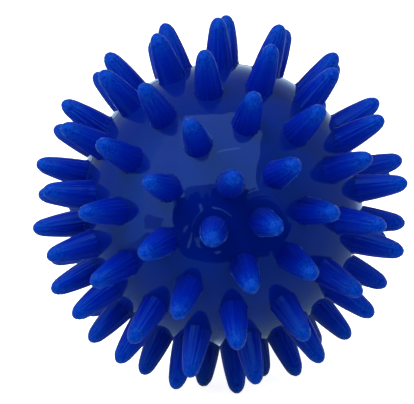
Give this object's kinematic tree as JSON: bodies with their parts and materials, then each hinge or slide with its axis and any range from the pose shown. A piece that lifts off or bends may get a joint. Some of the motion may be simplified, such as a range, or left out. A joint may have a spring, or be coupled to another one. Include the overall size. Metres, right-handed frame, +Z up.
{
  "type": "massage ball",
  "caption": "Spiky massage ball: a hollow round skin of soft plastic with blunt finger-shaped spikes all over it, and an air valve with a pull-out stopper.",
  "frame": {"origin": "centre of the ball", "axes": "+Z up as the ball lies on three spike tips; -Y is the front, towards the pole that carries a spike; +Y is the back, towards the air valve; +X right"},
  "size_m": [0.0992, 0.0979, 0.099],
  "materials": {
    "skin_vinyl": "glossy soft vinyl",
    "spike_vinyl": "semi-gloss soft vinyl",
    "valve_vinyl": "satin firm vinyl"
  },
  "bodies": {
    "ball": {"ball_skin": "skin_vinyl", "plain_pole_spike": "spike_vinyl", "plain_ring_1_spikes": "spike_vinyl", "plain_ring_2_spikes": "spike_vinyl", "plain_ring_3_spikes": "spike_vinyl", "plain_ring_4_spikes": "spike_vinyl", "valve_ring_1_spikes": "spike_vinyl", "valve_ring_2_spikes": "spike_vinyl", "valve_ring_3_spikes": "spike_vinyl", "valve_ring_4_spikes": "spike_vinyl", "valve_seat": "valve_vinyl"},
    "stopper": {"valve_stopper": "valve_vinyl"}
  },
  "joints": [
    {"name": "stopper_pull", "type": "slide", "parent": "ball", "child": "stopper", "axis": [0, 0.9985, -0.0554], "range_m": [0, 0.012]}
  ]
}
